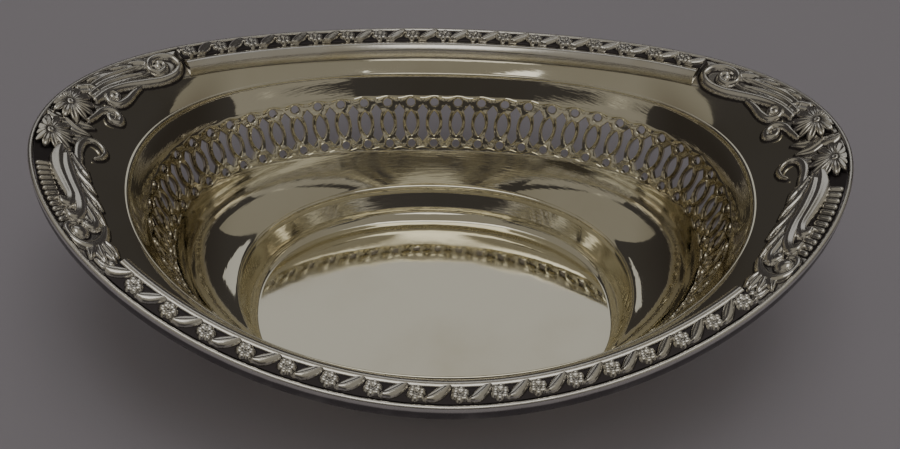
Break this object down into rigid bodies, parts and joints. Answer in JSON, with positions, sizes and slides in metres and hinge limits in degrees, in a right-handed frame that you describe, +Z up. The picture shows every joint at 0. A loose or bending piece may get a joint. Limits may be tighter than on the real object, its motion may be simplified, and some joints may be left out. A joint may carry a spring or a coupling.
{
  "type": "bonbon dish",
  "caption": "Oval boat-shaped silver dish with a pierced wall, upswept ends and an applied rosette and leaf border with a flowered piece at each end.",
  "frame": {"origin": "middle of the flat underside, on the surface that the dish stands on", "axes": "+X along the length towards the right end, +Y across the width towards the back, +Z up"},
  "size_m": [0.165, 0.1112, 0.051],
  "materials": {
    "silver_sheet": "polished silver with light warm tarnish",
    "silver_cast": "cast silver, dark in the hollows and polished on the high spots",
    "silver_wire": "polished silver wire, worn"
  },
  "bodies": {
    "root": {"bowl": "silver_sheet", "left_end_border": "silver_cast", "right_end_border": "silver_cast", "front_left_border": "silver_cast", "front_right_border": "silver_cast", "back_left_border": "silver_cast", "back_right_border": "silver_cast", "left_edge_wire": "silver_wire", "right_edge_wire": "silver_wire"}
  },
  "joints": []
}
